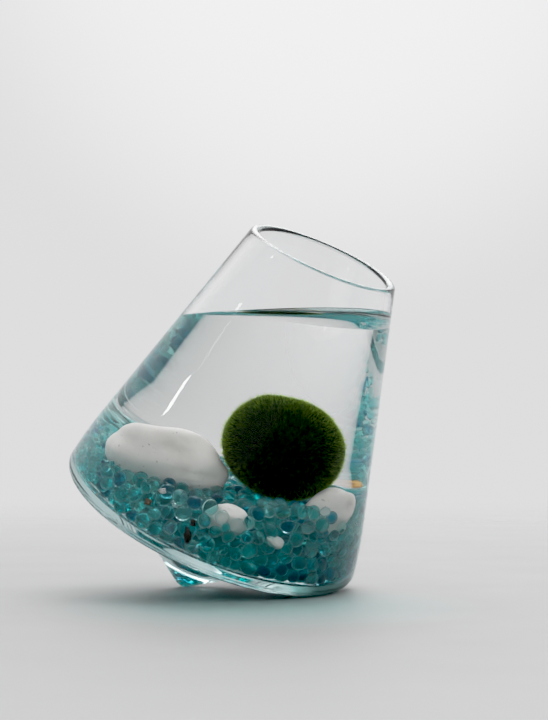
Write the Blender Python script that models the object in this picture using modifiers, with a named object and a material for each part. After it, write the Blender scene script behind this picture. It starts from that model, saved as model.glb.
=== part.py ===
"""Marimo moss ball in a tilting glass bowl, with water, sea-green gravel and white pebbles.

The bowl is one turned piece of clear glass that leans until its pointed nub and its shoulder both touch
the table. Gravel fills the low side, the pebbles and the moss ball sit in the gravel, and the water stands
level above them. Metres, +Z up. The origin is where the nub touches the table, and the bowl leans
towards +X.

Run with: blender --background --python part.py
"""

import math

import bmesh
import bpy
from mathutils import Matrix, Vector, noise

MM = 0.001

# The glass, measured along the bowl's own axis from the plane of its widest ring, the shoulder.
SHOULDER_RADIUS = 47.5 * MM
RIM_HEIGHT = 87.4 * MM
SHOULDER_EDGE_RADIUS = 2.2 * MM
SHOULDER_EDGE_START = math.radians(-4.0)  # where the shoulder's rounding begins, below the level
WALL_SLOPE = math.radians(16.2)
WALL_FOOT_SLOPE = math.radians(10.0)
WALL_BULGE_RADIUS = 140.0 * MM
BASE_SLOPE = math.radians(20.2)
NUB_RADIUS = 19.7 * MM
NUB_SLOPE = math.radians(39.3)
NUB_TIP_RADIUS = 4.3 * MM
WALL_THICKNESS = 2.8 * MM
FLOOR_THICKNESS = 3.3 * MM
INNER_CORNER_RADIUS = 2.5 * MM
INNER_CENTRE_RADIUS = 15.0 * MM
CONTACT_FLAT_DEPTH = 0.1 * MM  # how deep the two resting points are worn flat
TURN_SEGMENTS = 48
CURVE_STEPS = 3  # straight runs that make up a wide curve of the profile
CORNER_STEPS = 4  # and a tight one

# Water and gravel, in the table's frame.
WATER_LEVEL = 83.5 * MM
GRAVEL_HEIGHT = 38.2 * MM  # height of the gravel's surface above the nub
GRAVEL_FALL = 0.222  # how far the surface falls for each metre towards +X
GRAVEL_DIP = 4.2 * MM  # how much lower the surface lies over the front pebble
GRAVEL_DIP_MIDDLE = Vector((36.2, -26.0)) * MM
GRAVEL_DIP_REACH = 8.0 * MM
GRAIN_SPACING = 5.4 * MM
GRAIN_RELIEF = 0.9 * MM
GRAIN_WAVE = 3.2 * MM  # how far apart the surface's humps lie

CLEARANCE = 0.3 * MM  # left between pieces that touch
BED_ALLOWANCE = 1.25  # a flat facet lies deeper than its corners, so a bed is cut this much wider

# The blocks that cut the turned bodies down to what they hold.
BLOCK_REACH = 150.0 * MM
GRAVEL_BLOCK_REACH = SHOULDER_RADIUS + 4.0 * MM
GRAVEL_BLOCK_MIDDLE = Vector((20.0, 0.0, 0.0)) * MM
GRAVEL_BLOCK_BOTTOM = -20.0 * MM

# Pebbles: centre and half sizes, in millimetres, turns about X, Y and Z in degrees, and facets along a side.
PEBBLES = {
    "stone_left": ((10.4, -18.3, 38.5), (16.4, 10.2, 9.9), (4, 13, 34), 5),
    "stone_right": ((46.8, 4.0, 25.5), (9.4, 4.3, 6.3), (-6, -22, 50), 4),
    "stone_front": ((35.5, -25.4, 23.1), (6.4, 4.4, 4.6), (0, 10, 42), 3),
    "stone_small": ((46.7, -17.8, 17.0), (2.8, 2.4, 1.7), (12, 30, 34), 2),
}
PEBBLES_IN_WATER = ("stone_left", "stone_right", "stone_front")  # the small one is buried
PEBBLE_RELIEF = 0.16
FIRST_PEBBLE_SEED = 11
MARIMO_CENTRE = Vector((34.6, 0.3, 44.2)) * MM
MARIMO_RADIUS = 15.8 * MM
MARIMO_RELIEF = 0.025
MARIMO_SEED = 5
MARIMO_CUTS = 7
LUMPS = 1.6  # how closely a ball's lumps follow each other, for a ball of radius 1

COLOURS = {
    "glass_vessel": ((0.93, 0.96, 0.96, 1.0), 0.02),
    "water": ((0.80, 0.93, 0.93, 1.0), 0.02),
    "gravel_bed": ((0.10, 0.42, 0.44, 1.0), 0.30),
    "stone": ((0.78, 0.77, 0.74, 1.0), 0.45),
    "marimo_ball": ((0.05, 0.14, 0.02, 1.0), 0.90),
}

parts = None
cutters = None


def clear_scene():
    for old in list(bpy.data.objects):
        bpy.data.objects.remove(old, do_unlink=True)


def new_collection(name):
    collection = bpy.data.collections.new(name)
    bpy.context.scene.collection.children.link(collection)
    return collection


def finish(obj, look):
    """Files a piece with the parts, in its own material, shaded smooth."""
    colour, roughness = COLOURS[look]
    material = bpy.data.materials.new(obj.name)
    material.use_nodes = True
    shader = material.node_tree.nodes["Principled BSDF"]
    shader.inputs["Base Color"].default_value = colour
    shader.inputs["Roughness"].default_value = roughness
    material.diffuse_color = colour
    obj.data.materials.append(material)
    parts.objects.link(obj)
    obj.data.shade_smooth()
    return obj


def as_cutter(obj):
    cutters.objects.link(obj)
    obj.hide_render = True
    obj.display_type = "WIRE"
    return obj


def cut(obj, cutter, operation="DIFFERENCE"):
    boolean = obj.modifiers.new(f"{operation.lower()} {cutter.name}", "BOOLEAN")
    boolean.operation = operation
    boolean.object = cutter


# The profile of the glass, as points (radius, height) along the bowl's axis.


def facing(angle):
    """The unit normal of a wall that faces outwards at this angle above the horizontal."""
    return Vector((math.cos(angle), math.sin(angle)))


def arc(centre, radius, start, end, steps):
    turn = (end - start) / steps
    return [centre + radius * facing(start + turn * i) for i in range(steps + 1)]


def round_between(first, second, radius):
    """The centre of a circle that touches two straight walls from inside; each is (angle, distance)."""
    rows = Matrix([facing(angle) for angle, _ in (first, second)])
    return rows.inverted() @ Vector([distance - radius for _, distance in (first, second)])


def reach(point, angle):
    """How far a wall through this point and facing this way lies from the profile's origin."""
    return point.dot(facing(angle))


BASE_FACING = BASE_SLOPE - math.pi / 2
NUB_FACING = NUB_SLOPE - math.pi / 2
DOWN = -math.pi / 2
SHOULDER_CENTRE = Vector((SHOULDER_RADIUS - SHOULDER_EDGE_RADIUS, 0.0))
BULGE_CENTRE = SHOULDER_CENTRE - (WALL_BULGE_RADIUS - SHOULDER_EDGE_RADIUS) * facing(WALL_FOOT_SLOPE)
BASE_REACH = reach(SHOULDER_CENTRE, BASE_FACING) + SHOULDER_EDGE_RADIUS
NUB_START = Vector((NUB_RADIUS, (BASE_REACH - NUB_RADIUS * math.cos(BASE_FACING)) / math.sin(BASE_FACING)))
NUB_TIP_CENTRE = Vector((0.0, (reach(NUB_START, NUB_FACING) - NUB_TIP_RADIUS) / math.sin(NUB_FACING)))
LIP_RADIUS = WALL_THICKNESS / 2


def wall_at(depth, height):
    """The point of the straight upper wall at this height, this deep in the glass."""
    along = facing(WALL_SLOPE + math.pi / 2)
    top_of_bulge = BULGE_CENTRE + (WALL_BULGE_RADIUS - depth) * facing(WALL_SLOPE)
    return top_of_bulge + along * (height - top_of_bulge.y) / along.y


def outer_profile():
    """The outside, from the lip down to the tip of the nub."""
    return (
        arc(BULGE_CENTRE, WALL_BULGE_RADIUS, WALL_SLOPE, WALL_FOOT_SLOPE, CURVE_STEPS)
        + arc(SHOULDER_CENTRE, SHOULDER_EDGE_RADIUS, SHOULDER_EDGE_START, BASE_FACING, CORNER_STEPS)
        + [NUB_START]
        + arc(NUB_TIP_CENTRE, NUB_TIP_RADIUS, NUB_FACING, DOWN, CURVE_STEPS)
    )


def inner_profile(clearance=0.0):
    """The cavity, from the top of the bulge down to the middle of the floor."""
    depth = WALL_THICKNESS + clearance
    floor_reach = BASE_REACH - FLOOR_THICKNESS - clearance
    foot_reach = reach(BULGE_CENTRE, WALL_FOOT_SLOPE) + WALL_BULGE_RADIUS - depth
    corner_radius = INNER_CORNER_RADIUS - clearance
    corner = round_between((WALL_FOOT_SLOPE, foot_reach), (BASE_FACING, floor_reach), corner_radius)
    centre_radius = INNER_CENTRE_RADIUS - clearance
    centre = round_between((0.0, centre_radius), (BASE_FACING, floor_reach), centre_radius)
    return (
        arc(BULGE_CENTRE, WALL_BULGE_RADIUS - depth, WALL_SLOPE, WALL_FOOT_SLOPE, CURVE_STEPS)[:-1]
        + arc(corner, corner_radius, WALL_FOOT_SLOPE, BASE_FACING, CORNER_STEPS)
        + arc(centre, centre_radius, BASE_FACING, DOWN, CURVE_STEPS)
    )


def lean_angle():
    """How far the axis leans for the nub's tip and the shoulder to touch one flat table."""
    span = SHOULDER_CENTRE - NUB_TIP_CENTRE
    rise = SHOULDER_EDGE_RADIUS - NUB_TIP_RADIUS
    return math.acos(rise / span.length) - math.atan2(span.x, span.y)


def turned(name, profile, axis_frame):
    """A body of revolution about the bowl's leaning axis, from a profile with both its ends on that axis."""
    mesh = bpy.data.meshes.new(name)
    points = [(point.x, 0.0, point.y) for point in profile]
    for end in (0, -1):
        points[end] = (0.0, 0.0, points[end][2])
    edges = [(i, i + 1) for i in range(len(points) - 1)]
    mesh.from_pydata(points, edges, [])
    obj = bpy.data.objects.new(name, mesh)
    obj.parent = axis_frame
    obj.rotation_euler.z = math.pi / TURN_SEGMENTS  # puts the middle of a facet at the low side
    screw = obj.modifiers.new("turn", "SCREW")
    screw.steps = TURN_SEGMENTS
    screw.render_steps = TURN_SEGMENTS
    screw.use_merge_vertices = True
    screw.merge_threshold = 0.00001
    screw.use_smooth_shade = True
    return obj


def leaning_axis():
    """An empty at the middle of the shoulder's plane, with its Z along the bowl's axis."""
    empty = bpy.data.objects.new("leaning_axis", None)
    lean = lean_angle()
    up = Vector((math.sin(lean), 0.0, math.cos(lean)))
    tip_centre_height = NUB_TIP_RADIUS - CONTACT_FLAT_DEPTH
    empty.location = Vector((0.0, 0.0, tip_centre_height)) - up * NUB_TIP_CENTRE.y
    empty.rotation_euler.y = lean
    cutters.objects.link(empty)
    return empty


def block_below(name, level):
    """A wide block cutter with its top at this height."""
    mesh = bpy.data.meshes.new(name)
    shape = bmesh.new()
    bmesh.ops.create_cube(shape, size=2 * BLOCK_REACH)
    bmesh.ops.translate(shape, vec=(0.0, 0.0, level - BLOCK_REACH), verts=shape.verts)
    shape.to_mesh(mesh)
    shape.free()
    return as_cutter(bpy.data.objects.new(name, mesh))


# Forms of the contents.


def gravel_surface(x, y):
    """Height of the gravel: a slope towards the low side, with a dip and the relief of its top grains."""
    from_dip = (Vector((x, y)) - GRAVEL_DIP_MIDDLE).length / GRAVEL_DIP_REACH
    relief = GRAIN_RELIEF * noise.noise(Vector((x, y, 0.0)) / GRAIN_WAVE)
    return GRAVEL_HEIGHT - GRAVEL_FALL * x - GRAVEL_DIP * math.exp(-(from_dip**2)) + relief


def gravel_block(name, lift):
    """Everything under the gravel's surface, raised by lift: a grid pulled down to a deep flat bottom."""
    count = round(2 * GRAVEL_BLOCK_REACH / GRAIN_SPACING)
    shape = bmesh.new()
    bmesh.ops.create_grid(shape, x_segments=count, y_segments=count, size=GRAVEL_BLOCK_REACH)
    for vert in shape.verts:
        vert.co += GRAVEL_BLOCK_MIDDLE
        vert.co.z = gravel_surface(vert.co.x, vert.co.y) + lift
    lower = bmesh.ops.extrude_face_region(shape, geom=shape.faces[:])
    for vert in (item for item in lower["geom"] if isinstance(item, bmesh.types.BMVert)):
        vert.co.z = GRAVEL_BLOCK_BOTTOM
    bmesh.ops.recalc_face_normals(shape, faces=shape.faces[:])
    bmesh.ops.triangulate(shape, faces=shape.faces[:])
    mesh = bpy.data.meshes.new(name)
    shape.to_mesh(mesh)
    shape.free()
    return as_cutter(bpy.data.objects.new(name, mesh))


def lumpy_ball(name, relief, seed, cuts):
    """A closed ball of radius 1, made from a divided cube whose points are pushed out unevenly."""
    shape = bmesh.new()
    bmesh.ops.create_cube(shape, size=2.0)
    bmesh.ops.subdivide_edges(shape, edges=shape.edges[:], cuts=cuts, use_grid_fill=True)
    for vert in shape.verts:
        way = vert.co.normalized()
        vert.co = way * (1.0 + relief * noise.noise(way * LUMPS + Vector((seed, seed, 0.0))))
    bmesh.ops.triangulate(shape, faces=shape.faces[:])
    mesh = bpy.data.meshes.new(name)
    shape.to_mesh(mesh)
    shape.free()
    return bpy.data.objects.new(name, mesh)


def hollow_for(piece):
    """A cutter a clearance larger than a piece all round, to bed it in the gravel and the water."""
    cutter = piece.copy()
    cutter.name = f"bed of {piece.name}"
    cutter.scale = [side + BED_ALLOWANCE * CLEARANCE for side in piece.scale]
    return as_cutter(cutter)


def pebble(name, seed):
    centre, half_sizes, turns, cuts = PEBBLES[name]
    obj = lumpy_ball(name, PEBBLE_RELIEF, seed, cuts)
    obj.location = Vector(centre) * MM
    obj.scale = Vector(half_sizes) * MM
    obj.rotation_euler = [math.radians(turn) for turn in turns]
    return finish(obj, "stone")


def marimo():
    obj = lumpy_ball("marimo_ball", MARIMO_RELIEF, MARIMO_SEED, MARIMO_CUTS)
    obj.location = MARIMO_CENTRE
    obj.scale = [MARIMO_RADIUS] * 3
    return finish(obj, "marimo_ball")


def cavity(name, axis_frame):
    """A turned body that fills the bowl up to its neck, a clearance inside the glass."""
    depth = WALL_THICKNESS + CLEARANCE
    neck = wall_at(depth, RIM_HEIGHT)
    return turned(name, [Vector((0.0, neck.y)), neck, *inner_profile(CLEARANCE)], axis_frame)


def glass_vessel(axis_frame, table):
    lip_centre = wall_at(LIP_RADIUS, RIM_HEIGHT - LIP_RADIUS)
    lip = arc(lip_centre, LIP_RADIUS, WALL_SLOPE + math.pi, WALL_SLOPE, CORNER_STEPS)
    inside = [*reversed(inner_profile())]
    obj = turned("glass_vessel", [*inside, *lip, *outer_profile()], axis_frame)
    cut(obj, table)
    return finish(obj, "glass_vessel")


def gravel_bed(axis_frame, gravel_body, hollows):
    obj = cavity("gravel_bed", axis_frame)
    cut(obj, gravel_body, "INTERSECT")
    for hollow in hollows:
        cut(obj, hollow)
    return finish(obj, "gravel_bed")


def water(axis_frame, under_water, gravel_body, hollows):
    obj = cavity("water", axis_frame)
    cut(obj, under_water, "INTERSECT")
    cut(obj, gravel_body)
    for hollow in hollows:
        cut(obj, hollow)
    return finish(obj, "water")


def main():
    global parts, cutters
    clear_scene()
    parts = new_collection("marimo moss ball in a tilting bowl")
    cutters = new_collection("cutters")

    axis_frame = leaning_axis()
    table = block_below("table", 0.0)
    under_water = block_below("under water", WATER_LEVEL)

    glass_vessel(axis_frame, table)
    pebbles = [pebble(name, seed) for seed, name in enumerate(PEBBLES, start=FIRST_PEBBLE_SEED)]
    ball = marimo()
    hollows = {piece.name: hollow_for(piece) for piece in (*pebbles, ball)}
    gravel_bed(axis_frame, gravel_block("gravel body", 0.0), hollows.values())
    in_water = [hollows[name] for name in (*PEBBLES_IN_WATER, ball.name)]
    water(axis_frame, under_water, gravel_block("raised gravel body", CLEARANCE), in_water)


main()
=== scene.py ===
"""A marimo moss ball in its leaning glass bowl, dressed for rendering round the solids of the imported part.

Every surface is the boundary it is in life: glass to air, glass to water, water to air, and grain to water.
Each has the index that one side has against the other, so the bowl bends and mirrors its contents as real
glass does. Metres, +Z up. The origin is where the nub touches the table, and the bowl leans towards +X.
"""

import math
from collections import namedtuple

import bmesh
import bpy
import numpy as np
from bpy.props import FloatProperty, FloatVectorProperty, IntProperty, PointerProperty
from mathutils import Euler, Matrix, Vector, noise


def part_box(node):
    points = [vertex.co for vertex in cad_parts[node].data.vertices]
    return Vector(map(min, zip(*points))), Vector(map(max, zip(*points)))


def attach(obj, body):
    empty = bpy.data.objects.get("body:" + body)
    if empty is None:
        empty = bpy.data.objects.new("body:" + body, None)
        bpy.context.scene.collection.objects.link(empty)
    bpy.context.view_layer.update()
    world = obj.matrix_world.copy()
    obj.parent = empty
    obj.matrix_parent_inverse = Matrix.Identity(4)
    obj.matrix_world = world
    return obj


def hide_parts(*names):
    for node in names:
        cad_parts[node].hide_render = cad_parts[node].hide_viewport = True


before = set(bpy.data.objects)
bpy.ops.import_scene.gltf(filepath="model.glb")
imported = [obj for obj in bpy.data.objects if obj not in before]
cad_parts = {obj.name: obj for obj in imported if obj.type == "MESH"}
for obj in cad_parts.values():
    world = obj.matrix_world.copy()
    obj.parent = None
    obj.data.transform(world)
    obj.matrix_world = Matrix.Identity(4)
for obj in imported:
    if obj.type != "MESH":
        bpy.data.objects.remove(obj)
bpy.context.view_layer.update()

bl_info = {
    "name": "Marimo in a Leaning Bowl",
    "version": (1, 0, 0),
    "blender": (4, 5, 0),
    "location": "3D View > Sidebar > Marimo",
    "description": "Builds a moss ball, pebbles, glass gravel and water in a leaning bowl of clear glass",
    "category": "Add Mesh",
}

MM = 0.001
BODY = "root"
UP = Vector((0.0, 0.0, 1.0))

# The profile of the glass, along the bowl's own axis, from the plane of its widest ring, the shoulder.
SHOULDER_RADIUS = 47.5 * MM
RIM_HEIGHT = 87.4 * MM
SHOULDER_EDGE_RADIUS = 2.2 * MM
WALL_SLOPE = math.radians(16.2)
WALL_FOOT_SLOPE = math.radians(10.0)
WALL_BULGE_RADIUS = 140.0 * MM
BASE_SLOPE = math.radians(20.2)
NUB_RADIUS = 19.7 * MM
NUB_SLOPE = math.radians(39.3)
NUB_TIP_RADIUS = 4.3 * MM
NUB_FILLET_RADIUS = 14.0 * MM
INNER_CORNER_RADIUS = 2.5 * MM
INNER_CENTRE_RADIUS = 15.0 * MM
CONTACT_FLAT_DEPTH = 0.1 * MM

# How finely the glass and the water are turned, in steps round the axis and in rows up the straight wall.
TURN_STEPS = 256
WALL_ROWS = 24

# Its tint deepens between these two places on X: painted shade where the foot rests on the table.
FOOT_TOP = 2.0 * MM
PAINTED_SHADE_RANGE = (40.0 * MM, 51.0 * MM)

WAVE_LENGTH = 17.0 * MM  # of the inner face's waviness
CLIMB_REACH = 8.0 * MM  # how far above and below the water's level its edge is fitted to the wall
WATER_GAP = 0.03 * MM  # between the water and the glass

# Pebbles: centre and half sizes in millimetres, and turns about X, Y and Z in degrees.
PEBBLES = {
    "stone_left": ((10.4, -18.3, 38.5), (16.4, 10.2, 9.9), (4, 13, 34)),
    "stone_right": ((46.8, 4.0, 25.5), (9.4, 4.3, 6.3), (-6, -22, 50)),
    "stone_front": ((35.5, -25.4, 23.1), (6.4, 4.4, 4.6), (0, 10, 42)),
    "stone_small": ((46.7, -17.8, 17.0), (2.8, 2.4, 1.7), (12, 30, 34)),
}
PEBBLE_RELIEF = 0.16
FIRST_PEBBLE_SEED = 11
PEBBLE_CUTS = 40
LUMPS = 1.6

# A pit in the gravel's surface over the front pebble: where it is, how wide and how deep.
PIT_MIDDLE = Vector((36.2, -26.0)) * MM
PIT_REACH = 8.0 * MM
PIT_DEPTH = 4.2 * MM

# Towards the high side, beyond this X, the surface rises by so much over such a run.
CORNER_START = -5.0 * MM
CORNER_RUN = 15.0 * MM
CORNER_RISE = 1.2 * MM

# The small grains there: radius of the smallest, the largest as a multiple of it, how deep they start, and
# how many places are tried for them.
CORNER_GRAIN = 0.95 * MM
CORNER_SPREAD = 1.35
CORNER_DEPTH = 2.4 * MM
CORNER_TRIES = 20000

GRAVEL_SEED = 20
GRAIN_SIZES = (1.6, 2.0)  # the two numbers of the beta distribution of the radii
TRIES_FOR_EACH = 12
GRAIN_GAP = 0.1 * MM  # between the grains and the glass
BALL_SINK = 0.4  # how deep the grains press into the moss, as a part of its filaments
PEBBLE_ROOM = 0.95  # how near a grain's middle comes to a pebble, as a part of its radius
FREE_WITHIN = 0.02 * MM  # a grain that has to move less than this counts as free

# Packing: rounds in all, rounds between two searches for near pairs, how far apart such a pair may be, and
# how much each grain gives way to another, and sinks under the bed's surface, in one round.
PACKING_ROUNDS = 260
SEARCH_ROUNDS = 6
SEARCH_MARGIN = 0.6 * MM
SHOVE = 0.42
SINK = 0.5

# A grain is a ball with some sides pushed flat, at most this deep and beyond this part of its radius, and
# stretched by amounts between these two.
GRAIN_FLATS = 4
GRAIN_FLAT_DEPTH = 0.16
GRAIN_FLAT_FROM = 0.35
GRAIN_STRETCH = (0.82, 1.22)
GRAIN_SWELL = 1.01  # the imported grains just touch, and this presses them together

# Chips among the grains: kind, centre and half sizes in millimetres.
CHIPS = (
    ("dark", (31.2, -37.3, 18.9), (1.0, 0.8, 2.2)),
    ("dark", (32.8, -36.9, 22.5), (0.6, 0.6, 1.0)),
    ("brown", (20.3, -41.4, 28.1), (1.2, 0.8, 0.9)),
    ("white", (24.4, -40.0, 31.3), (1.2, 0.7, 0.7)),
    ("amber", (1.6, 40.0, 34.5), (1.3, 1.0, 1.1)),
)
CHIP_COLOURS = {
    "dark": (0.03, 0.022, 0.015),
    "brown": (0.24, 0.17, 0.11),
    "white": (0.95, 0.97, 0.97),
    "amber": (0.72, 0.42, 0.10),
}
CHIP_SHADE = 0.45  # how dark a chip's mottling is
CHIP_RELIEF = 0.7
CHIP_LUMPS = 1.9

# Grains that lie in front of the pebbles, against the glass: kind, centre and radius in millimetres.
FRONT_GRAINS = (
    ("clear", (38.4, -31.0, 24.2), 2.1),
    ("clear", (41.2, -27.4, 21.6), 2.6),
    ("teal", (38.7, -29.6, 21.1), 1.5),
    ("pale", (34.4, -34.0, 23.0), 2.1),
    ("blue", (45.4, -23.6, 25.1), 2.1),
    ("green", (46.9, -19.8, 20.2), 2.3),
    ("blue", (49.3, -15.3, 21.5), 2.3),
    ("green", (49.8, -11.9, 17.7), 2.3),
    ("green", (51.8, -11.5, 25.5), 2.0),
    ("pale", (52.5, -8.0, 25.0), 2.3),
    ("clear", (53.5, -3.7, 25.4), 1.7),
    ("blue", (53.6, -0.6, 23.6), 2.0),
    ("clear", (51.6, -9.1, 20.9), 2.1),
    ("green", (52.6, -3.8, 21.4), 2.3),
    ("pale", (52.5, 5.2, 20.6), 2.1),
    ("teal", (39.4, -29.6, 18.6), 2.1),
    ("teal", (36.4, -31.9, 20.0), 2.0),
    ("green", (43.6, -25.4, 22.6), 1.9),
    ("teal", (43.0, -25.8, 18.6), 2.1),
    ("green", (46.0, -20.4, 15.4), 2.0),
    ("green", (48.8, -15.2, 15.2), 2.1),
)

MARIMO_CENTRE = Vector((34.6, 0.3, 44.2)) * MM
MARIMO_RELIEF = 0.025
MARIMO_OFFSET = Vector((5.0, 5.0, 0.0))
MARIMO_CUTS = 36
PELT_SEED = 7

# Swellings and hollows of the moss ball: the way they face, and their height and width as parts of a radius.
MARIMO_SWELLINGS = (
    (Vector((-0.13, -0.16, 0.98)).normalized(), 0.022, 0.13),
    (Vector((-0.72, -0.54, -0.43)), 0.025, 0.45),
    (Vector((-0.56, -0.42, 0.71)), -0.02, 0.40),
)

# Its two sorts of filament. Longest is a part of the moss's own longest, a higher tail makes long ones rare,
# thinness is how much light comes through, and bright is where along the height the outer colour, a painted
# rim light, sets in.
Pelt = namedtuple("Pelt", "name longest tail width thinness bright")
PELTS = (
    Pelt("marimo_pelt", longest=0.55, tail=1.5, width=0.13 * MM, thinness=0.25, bright=(0.15, 0.6)),
    Pelt("marimo_long_filaments", longest=1.0, tail=2.0, width=0.09 * MM, thinness=0.7, bright=(0.1, 0.5)),
)
PELT_DEPTH = 0.75  # how far below the ball's radius the roots are, as a part of the longest filament
SHORTEST = 0.3  # of a pelt's longest
BLADE_JOINT = 0.55  # how far up a filament its joint is
BLADE_ROOT_WIDTH = 0.7
JOINT_LEAN = 0.35
TIP_LEAN = 0.9
LEAN_TOGETHER = 0.35  # how far neighbours lean the same way
LEAN_ALONE = 0.28
LEAN_WAVE = 9.0

# The camera that took the picture, found from the bowl's outline.
CAMERA_PLACE = Vector((346.1, -419.1, 48.4)) * MM
CAMERA_AZIMUTH = math.radians(36.68)
CAMERA_RISE = math.radians(2.38)
CAMERA_LENS = 86.32
SENSOR_WIDTH = 36.0

# The table gives way to the backdrop over this range of distances. Round this place it has a painted patch
# of teal light, for the light that comes through the gravel, less and less over this range from there.
TABLE_RADIUS = 12.0
TABLE_FADE = (0.05, 0.75)
TABLE_DROP = 0.05 * MM
PAINTED_POOL_MIDDLE = Vector((55.0, -34.0, 0.0)) * MM
PAINTED_POOL_FADE = (12.0 * MM, 62.0 * MM)

# Where the light comes from, and the cosines between which each light sets in.
BACKDROP_FADE = (-0.5, 0.7)
OVERHEAD_FADE = (0.0, 0.85)
GLOW_DIRECTION = Vector((-0.540, 0.785, 0.300))
GLOW_FADE = (0.968, 1.0)
KEY_DIRECTION = Vector((-0.254, 0.509, 0.820))
KEY_FADE = (0.79, 1.0)
SKY_COLOUR = (0.992, 0.990, 1.0)
WINDOW_DIRECTION = Vector((-0.525, -0.710, 0.469))
WINDOW_TARGET = Vector((30.0, -35.0, 62.0)) * MM
WINDOW_DISTANCE = 1.0
WINDOW_SIDE = 0.05

# The tone curve: the brightness that shows as white, and pairs of brightness and what it shows as.
WHITE = 1.6
TONES = ((0.10, 0.085), (0.25, 0.25), (0.45, 0.47), (0.80, 0.727), (1.15, 0.90))


def number(name, description, default, **limits):
    """A property that holds a plain number."""
    return FloatProperty(name=name, description=description, default=default, **limits)


def whole_number(name, description, default, **limits):
    """A property that holds a number of things."""
    return IntProperty(name=name, description=description, default=default, **limits)


def length(name, description, default, **limits):
    """A property that holds a size in metres."""
    return number(name, description, default, unit="LENGTH", subtype="DISTANCE", precision=5, **limits)


def colour(name, description, default):
    """A property that holds a colour."""
    return FloatVectorProperty(
        name=name, description=description, default=default, subtype="COLOR", size=3, min=0.0, max=1.0
    )


class GlassSettings(bpy.types.PropertyGroup):
    """Sizes and finish of the bowl's glass."""

    wall: length("Wall", "Thickness of the upper wall", 2.8 * MM, min=1 * MM, max=6 * MM)
    floor: length("Floor", "Thickness of the cone under the contents", 3.3 * MM, min=1 * MM, max=8 * MM)
    waviness: length("Waviness", "How uneven the inner face is", 0.05 * MM, min=0.0, max=0.5 * MM)
    index: number("Index", "Refractive index of the glass", 1.5, min=1.3, max=1.9)
    tint: colour("Tint", "What going in or out of the glass once does to white light", (0.996, 0.999, 0.999))
    # The foot's tint is partly the green of thick glass and partly painted shade; the low tint is painted
    # shade.
    foot_tint_and_shade: colour("Foot tint", "The same for the thick foot", (0.46, 0.61, 0.61))
    painted_foot_shade: colour("Low tint", "The same where the foot rests on the table", (0.008, 0.025, 0.023))


class WaterSettings(bpy.types.PropertyGroup):
    """Level and finish of the water."""

    level: length("Level", "Height of the water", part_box("water")[1].z - 2.5 * MM, min=50 * MM, max=100 * MM)
    capillary: length("Capillary length", "Sets how high the water climbs", 2.7 * MM, min=1 * MM, max=4 * MM)
    contact: number(
        "Contact angle",
        "Angle between the water's surface and the glass at its edge",
        math.radians(30.0),
        min=0.0,
        max=math.radians(80.0),
        subtype="ANGLE",
    )
    index: number("Index", "Refractive index of the water", 1.333, min=1.3, max=1.4)


class GravelSettings(bpy.types.PropertyGroup):
    """Size, spread and colours of the glass gravel."""

    count: whole_number("Grains", "How many grains fill the bed", 1290, min=200, max=3000)
    corner_count: whole_number("Corner", "How many small ones fill its thin side", 190, min=0)
    smallest: length("Smallest", "Radius of the smallest grains", 1.6 * MM, min=0.5 * MM, max=4 * MM)
    largest: length("Largest", "Radius of the largest grains", 2.65 * MM, min=0.5 * MM, max=4 * MM)
    height: length("Height", "Height of the surface over the nub", 38.2 * MM, min=10 * MM, max=70 * MM)
    fall: number("Fall", "Fall of the surface for each metre to the low side", 0.222)
    index: number("Index", "Refractive index of a grain in water", 1.15, min=1.01, max=1.5)
    # Shown at every edge and most at the lower ones: partly frost, partly a painted rim light.
    edge: colour("Edge", "Colour of a grain's frosted edge", (0.78, 0.98, 0.96))
    blue: colour("Blue", "Colour of the deep blue-teal grains", (0.02, 0.46, 0.62))
    teal: colour("Teal", "Colour of the teal grains", (0.19, 0.79, 0.81))
    green: colour("Sea green", "Colour of the sea-green grains", (0.40, 0.89, 0.88))
    pale: colour("Pale", "Colour of the pale grains", (0.64, 0.95, 0.93))
    clear: colour("Clear", "Colour of the nearly clear grains", (0.88, 0.98, 0.98))


class PebbleSettings(bpy.types.PropertyGroup):
    """Finish of the white pebbles."""

    stone: colour("Stone", "Colour of the stone", (0.92, 0.905, 0.865))
    fleck: colour("Fleck", "Colour of the specks and faint clouds", (0.55, 0.54, 0.50))


class MossSettings(bpy.types.PropertyGroup):
    """Size and colours of the moss ball."""

    radius: length("Radius", "From the middle to the filaments' tips", 15.8 * MM, min=5 * MM, max=30 * MM)
    filament: length("Filament", "Length of the longest filaments", 1.8 * MM, min=0.2 * MM, max=4 * MM)
    filaments: whole_number("Filaments", "How many short filaments", 56000, min=1000, max=60000)
    long_filaments: whole_number("Long ones", "How many longer ones", 24000, min=100, max=40000)
    root: colour("Root", "Colour at a filament's root", (0.008, 0.018, 0.004))
    tip: colour("Tip", "Colour at a filament's tip", (0.014, 0.050, 0.007))
    old: colour("Old", "Colour at the tip in older patches", (0.010, 0.030, 0.006))
    fresh: colour("Fresh", "Colour at the tip of the freshest filaments", (0.022, 0.066, 0.010))
    # Outer and through show as a painted rim light, where the ball turns edge on.
    outer: colour("Outer", "Colour of what reaches out farthest", (0.16, 0.32, 0.03))
    deep: colour("Deep", "Colour of the light that comes through deep in the pelt", (0.008, 0.05, 0.002))
    through: colour("Through", "Colour of the light that comes through farthest out", (0.58, 0.85, 0.11))


class StageSettings(bpy.types.PropertyGroup):
    """Floor and light."""

    floor: colour("Floor", "Colour of the table", (0.27, 0.27, 0.266))
    # Painted light: a teal patch on the table, standing in for light that comes through the gravel.
    pool: colour("Pool", "Colour of the table where light falls through the gravel", (0.28, 0.385, 0.375))
    backdrop: number("Backdrop", "Brightness of what stands behind", 0.81, min=0.0)
    overhead: number("Overhead", "Brightness of what hangs above", 0.95, min=0.0)
    front: number("Front", "Brightness of the room on the camera's side", 0.64, min=0.0)
    glow: number("Glow", "How much brighter the backdrop is where the foot mirrors it", 0.26, min=0.0)
    key: number("Key", "Brightness of the soft light above and behind", 5.5, min=0.0)
    window: number("Window", "Power of the narrow light on the left", 0.16, min=0.0)
    black: number("Black", "Brightness that shows as black", 0.028, min=0.0, max=0.1)


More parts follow.
